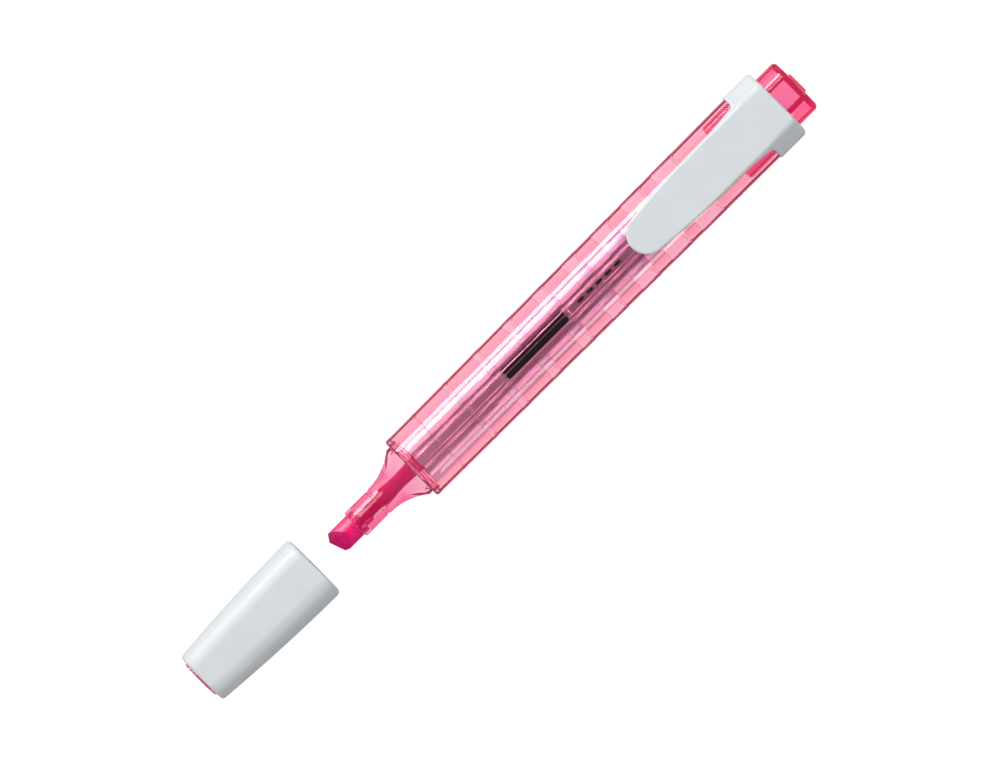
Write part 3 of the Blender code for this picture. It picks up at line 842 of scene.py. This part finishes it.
def make_reservoir(fibre, film):
    hole_radius = SHANK_RADIUS + GAP / 2
    core = loft(
        "reservoir_fibre",
        [
            circle(FILM_FRONT + WICK_HOLE_DEPTH, hole_radius),
            circle(FILM_FRONT + GAP, hole_radius),
            reservoir_ring(FILM_FRONT + GAP, CORE_INSET),
            reservoir_ring(FILM_REAR - GAP, CORE_INSET),
        ],
    )
    finish_piece(core, fibre, "pen", "ink_fibre", "ink_reservoir")
    steps = 60
    edge = 0.05
    outside = [reservoir_ring(FILM_FRONT, edge)]
    for i in range(steps + 1):
        outside.append(film_ring(FILM_FRONT + edge + (FILM_REAR - FILM_FRONT - 2 * edge) * i / steps))
    outside.append(reservoir_ring(FILM_REAR, edge))
    inside = [reservoir_ring(FILM_REAR, FILM_THICKNESS), reservoir_ring(FILM_FRONT, FILM_THICKNESS)]
    sleeve = loft("reservoir_film_sleeve", outside + inside, tube=True)
    finish_piece(sleeve, film, "pen", "film", "reservoir_film")


# ---------------------------------------------------------------- tail plug


def make_tail_plug(material):
    spigot_width = barrel_half_width(PLUG_FRONT) - BARREL_WALL - GAP
    spigot_height = BARREL_HALF_HEIGHT - BARREL_WALL - GAP
    lead_in = 0.4

    def spigot(station, inset=0.0):
        return ring(station, spigot_width - inset, spigot_height - inset)

    def head(station, inset=0.0, flatness=1.0):
        return ring(station, PLUG_HALF_WIDTH - inset, PLUG_HALF_HEIGHT - inset * flatness)

    rings = [
        head(PLUG_REAR - PLUG_END_WALL, PLUG_WALL),
        head(PLUG_STEP - PLUG_WALL, PLUG_WALL),
        spigot(PLUG_STEP - PLUG_WALL - 0.2, PLUG_WALL),
        spigot(PLUG_FRONT, PLUG_WALL),
        spigot(PLUG_FRONT, lead_in),
        spigot(PLUG_FRONT + lead_in),
        spigot(PLUG_STEP),
        head(PLUG_STEP),
    ]
    rings += [head(PLUG_REAR - along, inset, 0.3) for along, inset in reversed(arc_steps(PLUG_ROUND, 8))]
    piece = loft("tail_plug_clear", rings)
    web_half_height = PLUG_HALF_HEIGHT - PLUG_WALL / 2
    for side in (1, -1):
        web = block(
            "web",
            (PLUG_FRONT + 1, side * WEB_OFFSET - WEB_THICKNESS / 2, -web_half_height),
            (PLUG_REAR - PLUG_END_WALL / 2, side * WEB_OFFSET + WEB_THICKNESS / 2, web_half_height),
        )
        combine(piece, web, "UNION")
    rear_face = PLUG_REAR - PLUG_END_WALL / 2
    tab = [oval(rear_face, TAB_WIDTH / 2, TAB_HEIGHT / 2, TAB_SQUARENESS)]
    for along, inset in reversed(arc_steps(TAB_ROUND, 4)):
        tab.append(oval(TAIL_END - along, TAB_WIDTH / 2 - inset, TAB_HEIGHT / 2 - inset, TAB_SQUARENESS))
    combine(piece, loft("tab", tab), "UNION")
    return finish_piece(piece, material, "pen", "deep_pink", "tail_plug")


# ---------------------------------------------------------------- clip


def collar_height(y):
    """How high the collar's outline is above the axis at an offset across it: flat, then slanted."""
    face_edge = COLLAR_FACE_SHARE * COLLAR_HALF_WIDTH
    drop = (1 - SIDE_SHARE) * COLLAR_TOP / (COLLAR_HALF_WIDTH - face_edge)
    slanted = COLLAR_TOP - (abs(y) - face_edge) * drop
    return smooth_min(COLLAR_TOP, slanted, 0.5)


def clip_half_width(station):
    from_tip = station - CLIP_TIP
    if from_tip < CLIP_TIP_RADIUS:
        return math.sqrt(max(2 * CLIP_TIP_RADIUS * from_tip - from_tip**2, 0.0))
    if station < CLIP_WAIST:
        share = (from_tip - CLIP_TIP_RADIUS) / (CLIP_WAIST - CLIP_TIP - CLIP_TIP_RADIUS)
        return CLIP_TIP_RADIUS + (CLIP_WAIST_HALF_WIDTH - CLIP_TIP_RADIUS) * share * (2 - share)
    share = (station - CLIP_WAIST) / (CLIP_ROOT - CLIP_WAIST)
    width = CLIP_WAIST_HALF_WIDTH + (CLIP_ROOT_HALF_WIDTH - CLIP_WAIST_HALF_WIDTH) * share**1.5
    into_fillet = min(max(station - (COLLAR_FRONT - CLIP_FILLET), 0.0), CLIP_FILLET)
    return width + CLIP_FILLET - math.sqrt(CLIP_FILLET**2 - into_fillet**2)


def edge_distance(station, y):
    """How far a point of the clip is from its outline."""
    from_tip = station - CLIP_TIP
    if from_tip < CLIP_TIP_RADIUS:
        return CLIP_TIP_RADIUS - math.hypot(CLIP_TIP_RADIUS - from_tip, y)
    return clip_half_width(station) - abs(y)


def rounding(distance, radius):
    """How far a surface has fallen away at a distance from an edge that is rounded to a radius."""
    short = radius - min(max(distance, 0.0), radius)
    return radius - math.sqrt(max(radius**2 - short**2, 0.0))


def clip_section(station, sunk=0.0):
    across_steps = 48
    share = min((station - CLIP_TIP) / (CLIP_ROOT - CLIP_TIP), 1.0)
    drop = CLIP_TIP_DROP * (1 - share) ** 2 + sunk
    away = (station - CLIP_PAD_STATION) / CLIP_PAD_LENGTH
    pad = CLIP_PAD_DEPTH * math.exp(-away * away)
    half_width = clip_half_width(station)
    top, bottom = [], []
    for i in range(across_steps + 1):
        y = half_width * math.sin(math.pi / 2 * (2 * i / across_steps - 1))
        distance = edge_distance(station, y)
        height = collar_height(y)
        flat_bottom = COLLAR_TOP - CLIP_THICKNESS
        upper = height - drop - rounding(distance, CLIP_EDGE_ROUND)
        lower = smooth_min(flat_bottom, height - CLIP_THICKNESS, 0.3) - drop - pad
        lower += rounding(distance, CLIP_EDGE_ROUND / 2)
        top.append(place(station, y, upper))
        bottom.append(place(station, y, lower))
    return top + bottom[::-1]


def make_clip(material):
    """The collar and the clip as the one moulding that they are."""
    front_round = 0.15

    def collar_ring(station, inset=0.0):
        def radius_at(angle):
            raised = math.sin(angle) > 0
            height = COLLAR_TOP - CLIP_BLEND if raised else COLLAR_BOTTOM
            return eight_sided_radius(angle, COLLAR_HALF_WIDTH - inset, height - inset, COLLAR_FACE_SHARE)

        return outline(station, radius_at)

    rear_steps = reversed(arc_steps(COLLAR_ROUND, 8))
    outside = [collar_ring(COLLAR_FRONT + along, inset) for along, inset in arc_steps(front_round, 3)]
    outside += [collar_ring(COLLAR_REAR - along, inset) for along, inset in rear_steps]
    inside = [
        barrel_ring(COLLAR_FRONT, SEAT_STEP - GAP),
        barrel_ring(COLLAR_LIP, SEAT_STEP - GAP),
        ring(COLLAR_LIP, PLUG_HALF_WIDTH + GAP, PLUG_HALF_HEIGHT + GAP),
        ring(COLLAR_REAR, PLUG_HALF_WIDTH + GAP, PLUG_HALF_HEIGHT + GAP),
    ]
    piece = loft("clip_and_collar", outside + inside[::-1], tube=True)
    tip_steps, fillet_steps = 24, 8
    body_start, fillet_start = CLIP_TIP + CLIP_TIP_RADIUS, COLLAR_FRONT - CLIP_FILLET
    body_steps = round(fillet_start - body_start)
    stations = []
    for i in range(tip_steps):
        quarter_turn = math.pi / 2 * (i + 0.5) / tip_steps
        stations.append(CLIP_TIP + CLIP_TIP_RADIUS * (1 - math.cos(quarter_turn)))
    for i in range(body_steps):
        stations.append(body_start + (fillet_start - body_start) * i / body_steps)
    for i in range(fillet_steps + 1):
        stations.append(COLLAR_FRONT - CLIP_FILLET * math.cos(math.pi / 2 * i / fillet_steps))
    sections = [clip_section(station) for station in stations]
    sections.append(clip_section(COLLAR_FRONT + 2 * front_round))
    sections.append(clip_section(COLLAR_FRONT + 2.0, CLIP_BLEND))
    sections.append(clip_section(COLLAR_FRONT + 2.5, 0.3))
    combine(piece, loft("blade", sections), "UNION")
    coat(piece, material)
    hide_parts("clip_collar", "clip_blade")
    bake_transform(piece)
    return piece


# ---------------------------------------------------------------- cap


def cap_outline(station, half_width, half_height):
    return ring(station, half_width, half_height, corners=CAP_CORNERS, face_share=CAP_FACE_SHARE)


def cap_ring(station, inset=0.0):
    share = max(CAP_MOUTH - station, 0.0) / (CAP_MOUTH - CAP_END)
    taper = share**CAP_TAPER
    half_width = CAP_HALF_WIDTH + (CAP_END_HALF_WIDTH - CAP_HALF_WIDTH) * taper
    half_height = CAP_HALF_HEIGHT + (CAP_END_HALF_HEIGHT - CAP_HALF_HEIGHT) * taper
    return cap_outline(station, half_width - inset, half_height - inset)


def end_plug_ring(station, growth=0.0):
    return cap_outline(station, END_PLUG_HALF_WIDTH + growth, END_PLUG_HALF_HEIGHT + growth)


def make_cap(shell_material, plug_material, seal_material):
    taper_steps = 24
    first, last = CAP_MOUTH - CAP_MOUTH_ROUND, CAP_END + CAP_ROUND
    outside = [cap_ring(CAP_MOUTH - along, inset) for along, inset in arc_steps(CAP_MOUTH_ROUND, 6)]
    for i in range(1, taper_steps):
        outside.append(cap_ring(first + (last - first) * i / taper_steps))
    outside += [cap_ring(CAP_END + along, inset) for along, inset in reversed(arc_steps(CAP_ROUND, 6))]
    inner_end = CAP_END + CAP_END_WALL
    inside = [end_plug_ring(CAP_END, GAP), end_plug_ring(inner_end, GAP)]
    bore_length = CAP_MOUTH - CAP_MOUTH_BEVEL - inner_end
    for i in range(taper_steps):
        inside.append(cap_ring(inner_end + bore_length * i / (taper_steps - 1), CAP_WALL))
    inside.append(cap_ring(CAP_MOUTH, CAP_WALL - CAP_MOUTH_BEVEL))
    shell = loft("cap_shell_grey", outside + inside, tube=True)
    finish_piece(shell, shell_material, "cap", "pale_grey", "cap_shell")

    dome = []
    for share in (0.95, 0.75, 0.5, 0.3, 0.18):
        station = END_PLUG_FRONT + END_PLUG_BOW * (1 - share**2)
        dome.append(end_plug_ring(station, -END_PLUG_HALF_HEIGHT * share * 0.9))
    edge = END_PLUG_FRONT + END_PLUG_BOW
    button_rings = dome + [
        end_plug_ring(edge + 0.02, -0.06),
        end_plug_ring(edge + 0.08),
        end_plug_ring(inner_end + GAP),
        end_plug_ring(inner_end + GAP, END_PLUG_RIM),
        end_plug_ring(END_PLUG_REAR, END_PLUG_RIM),
    ]
    button = loft("cap_end_button", button_rings)
    finish_piece(button, plug_material, "cap", "deep_pink", "cap_end_plug")

    floor = SEAL_BASE + SEAL_BASE_THICKNESS
    outer = SEAL_INNER_RADIUS + SEAL_WALL
    seal = loft(
        "cap_inner_seal_soft",
        [
            circle(floor, SEAL_INNER_RADIUS),
            circle(SEAL_MOUTH - 2 * SEAL_LIP_LENGTH, SEAL_MOUTH_RADIUS),
            circle(SEAL_MOUTH - SEAL_LIP_LENGTH, SEAL_LIP_RADIUS),
            circle(SEAL_MOUTH - 0.3, SEAL_LIP_RADIUS),
            circle(SEAL_MOUTH, SEAL_MOUTH_RADIUS),
            circle(SEAL_MOUTH, SEAL_MOUTH_RADIUS + SEAL_WALL),
            circle(floor, outer),
            oval(floor, outer + SEAL_FOOT, outer),
            oval(SEAL_BASE, outer + SEAL_FOOT, outer),
        ],
    )
    finish_piece(seal, seal_material, "cap", "soft_seal", "cap_inner_seal")


# ---------------------------------------------------------------- studio

# The camera, and how bright the floor and the sky look to each kind of ray.
VIEW_WIDTH = 187.0 * MM
VIEW_CENTRE = (0.2 * MM, -0.1 * MM)
LENS_MM = 500.0
SENSOR_MM = 36.0
FLOOR_GLOW = 0.95
FLOOR_SPILL = 0.22
# The colour and size of the painted pink light that the floor shows in reflections near the barrel.
POOL_PINK = (0.8, 0.1, 0.22)
POOL_HALF_WIDTH = (10.0, 16.0)
POOL_FRONT = (-16.0, -14.0)
SKY_GLOW = 0.11
HORIZON_TOP = 0.4
HORIZON_GLOW = 0.5
HORIZON_GLINT = 0.2
SKY_GLINT = 0.04


def make_camera():
    """Square above the middle of the pen, turned so that the pen runs from lower left to upper right."""
    low, high = cad_box
    camera = put_in_scene(bpy.data.objects.new("camera", bpy.data.cameras.new("camera")))
    camera.data.lens = LENS_MM
    camera.data.sensor_width = SENSOR_MM
    distance = VIEW_WIDTH * LENS_MM / SENSOR_MM
    middle = (low + high) / 2
    camera.location = (middle.x + VIEW_CENTRE[0], middle.y + VIEW_CENTRE[1], AXIS_Z + distance)
    camera.rotation_euler = (0, 0, math.radians(-45))
    camera.data.clip_start = 0.01
    camera.data.clip_end = 20
    bpy.context.scene.camera = camera


def make_floor():
    """A white floor that glows like a light table behind the clear plastic but throws little light on the
    rest. Close to the barrel a painted patch of pink light shows in its reflections only, a painted reflection
    of the coloured light that falls through the pen."""
    shape = bmesh.new()
    bmesh.ops.create_grid(shape, x_segments=1, y_segments=1, size=6.0)
    floor = mesh_object("floor", shape)
    made = Nodes("floor")
    speckle = made.noise(0.01, 0.01, 0.01, detail=3.0)
    ray = made.add("ShaderNodeLightPath").outputs
    seen = made.maths("MAXIMUM", ray["Is Camera Ray"], ray["Is Transmission Ray"])
    near, far = (offset * MM for offset in POOL_HALF_WIDTH)
    # A painted patch of pink light near the barrel, seen only by glossy rays: a painted reflection of the
    # light that falls through the pen.
    painted_pool = ray["Is Glossy Ray"]
    for share in (
        made.between(ray["Is Transmission Ray"], 1.0, 0.0, 0.0, 1.0),
        made.between(made.maths("ABSOLUTE", made.axis("Y")), 1.0, 0.0, near, far),
        made.by_station(0.0, 1.0, *POOL_FRONT),
    ):
        painted_pool = made.maths("MULTIPLY", painted_pool, share)
    glow = made.between(seen, FLOOR_SPILL, FLOOR_GLOW, 0.0, 1.0)
    made.drive(
        Base_Color=made.colours(speckle, (0.3, (0.2, 0.2, 0.2)), (0.7, (0.21, 0.21, 0.21))),
        Emission_Color=made.colours(painted_pool, (0.0, (1.0, 1.0, 1.0)), (1.0, POOL_PINK)),
        Emission_Strength=made.maths("MAXIMUM", glow, painted_pool),
    )
    made.set(Roughness=0.9, Specular_IOR_Level=0.0)
    floor.data.materials.append(made.material)


def make_sky():
    """Dim overhead and bright round the horizon, like a light tent that the camera looks into from above.
    Rays that come through the plastic see the horizon brightest, and glossy ones see the sky dimmest."""
    world = bpy.data.worlds.new("tent")
    bpy.context.scene.world = world
    world.use_nodes = True
    tree = world.node_tree

    def ramped(value, start, end, low, high):
        node = tree.nodes.new("ShaderNodeMapRange")
        node.interpolation_type = "SMOOTHSTEP"
        for name, setting in (("From Min", start), ("From Max", end), ("To Min", low), ("To Max", high)):
            node.inputs[name].default_value = setting
        tree.links.new(value, node.inputs["Value"])
        return node.outputs["Result"]

    def chosen(share, low, high):
        node = tree.nodes.new("ShaderNodeMix")
        tree.links.new(share, node.inputs["Factor"])
        for name, value in (("A", low), ("B", high)):
            if isinstance(value, float):
                node.inputs[name].default_value = value
            else:
                tree.links.new(value, node.inputs[name])
        return node.outputs["Result"]

    coordinates = tree.nodes.new("ShaderNodeTexCoord")
    split = tree.nodes.new("ShaderNodeSeparateXYZ")
    tree.links.new(coordinates.outputs["Generated"], split.inputs[0])
    height = ramped(split.outputs["Z"], 0.0, HORIZON_TOP, 0.0, 1.0)
    ray = tree.nodes.new("ShaderNodeLightPath").outputs
    overhead = chosen(ray["Is Diffuse Ray"], SKY_GLINT, SKY_GLOW)
    around = chosen(ray["Is Diffuse Ray"], HORIZON_GLINT, HORIZON_GLOW)
    horizon = chosen(ray["Is Transmission Ray"], around, FLOOR_GLOW)
    strength = chosen(ray["Is Camera Ray"], chosen(height, horizon, overhead), 1.0)
    background = tree.nodes["Background"]
    tree.links.new(strength, background.inputs["Strength"])
    background.inputs["Color"].default_value = (1.0, 1.0, 1.0, 1.0)


def make_lamp(name, azimuth, elevation, size, radiance):
    """A softbox a metre away that faces the pen. Azimuth 0 is beyond the tail and 90 is on the left."""
    data = bpy.data.lights.new(name, "AREA")
    data.shape = "RECTANGLE"
    data.size, data.size_y = size
    data.energy = radiance * math.pi * size[0] * size[1]
    lamp = put_in_scene(bpy.data.objects.new(name, data))
    around, up = math.radians(azimuth), math.radians(elevation)
    away = Vector((math.cos(up) * math.cos(around), math.cos(up) * math.sin(around), math.sin(up)))
    lamp.location = away
    lamp.rotation_euler = away.to_track_quat("Z", "Y").to_euler()
    lamp.visible_camera = False


def main():
    faint = ((0.97, 0.93, 0.95), (0.99, 0.96, 0.97))
    strong = ((0.98, 0.88, 0.93), (0.99, 0.92, 0.96))
    # In each clear plastic, the colour after the absorption and the number after it are its painted pink glow
    # and that glow's strength.
    clear_pink = clear_plastic("clear_pink", faint, (0.01, 0.32, 0.25), (1.0, 0.0, 0.33), 0.03, 0.05)
    front_pink = clear_plastic(
        "front_pink", faint, (0.03, 0.34, 0.22), (1.0, 0.0, 0.35), 0.03, 0.05, neck_tint=(0.9, 0.42, 0.6)
    )
    deep_pink = clear_plastic("deep_pink", strong, (0.09, 0.75, 0.66), (1.0, 0.0, 0.85), 0.065, 0.06)
    grey = satin_plastic()
    fibre = ink_fibre()
    make_camera()
    make_barrel(clear_pink)
    make_print(black_ink())
    make_front_section(front_pink)
    make_nib(fibre)
    make_reservoir(fibre, silvery_film())
    make_tail_plug(deep_pink)
    make_clip(grey)
    make_cap(grey, deep_pink, soft_seal())
    make_floor()
    make_sky()
    make_lamp("left_softbox", 90, 31, (0.38, 0.5), 13.5)
    make_lamp("right_softbox", -90, 32, (0.24, 0.45), 6.0)
    make_lamp("nib_end_softbox", 180, 32, (0.6, 0.3), 4.5)
    make_lamp("tail_end_softbox", 0, 32, (0.6, 0.3), 5.5)
    make_lamp("upper_softbox", 90, 64, (0.38, 0.34), 4.6)
    bpy.context.scene.view_settings.view_transform = "Standard"


main()
